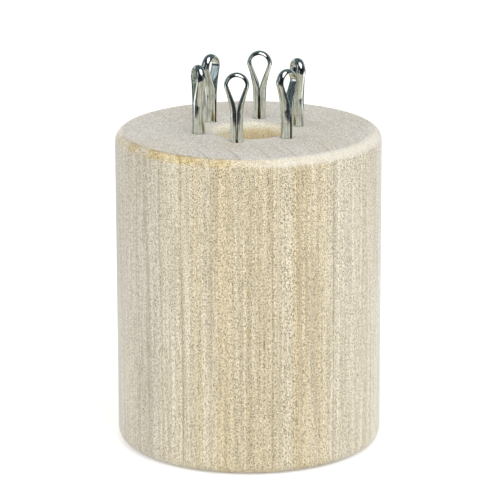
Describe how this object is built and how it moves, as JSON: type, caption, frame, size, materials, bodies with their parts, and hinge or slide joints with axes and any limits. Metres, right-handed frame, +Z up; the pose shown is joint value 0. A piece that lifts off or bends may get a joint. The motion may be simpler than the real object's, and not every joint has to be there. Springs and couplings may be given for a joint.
{
  "type": "spool knitter",
  "caption": "Handheld spool knitter for i-cord: a turned wooden block with a through bore and a ring of eyed split pins standing on its top.",
  "frame": {"origin": "centre of the block's foot, on the surface that the knitter stands on", "axes": "+Z up along the bore; the first pin stands on +X, and the others follow counter-clockwise seen from above"},
  "size_m": [0.0636, 0.0636, 0.0926],
  "materials": {
    "hardwood": "pale close-grained hardwood, turned and sanded, bare or thinly sealed, satin",
    "plated_steel": "bright zinc-plated mild steel wire"
  },
  "bodies": {
    "root": {"wooden_block": "hardwood", "split_pin_1": "plated_steel", "split_pin_2": "plated_steel", "split_pin_3": "plated_steel", "split_pin_4": "plated_steel", "split_pin_5": "plated_steel", "split_pin_6": "plated_steel"}
  },
  "joints": []
}
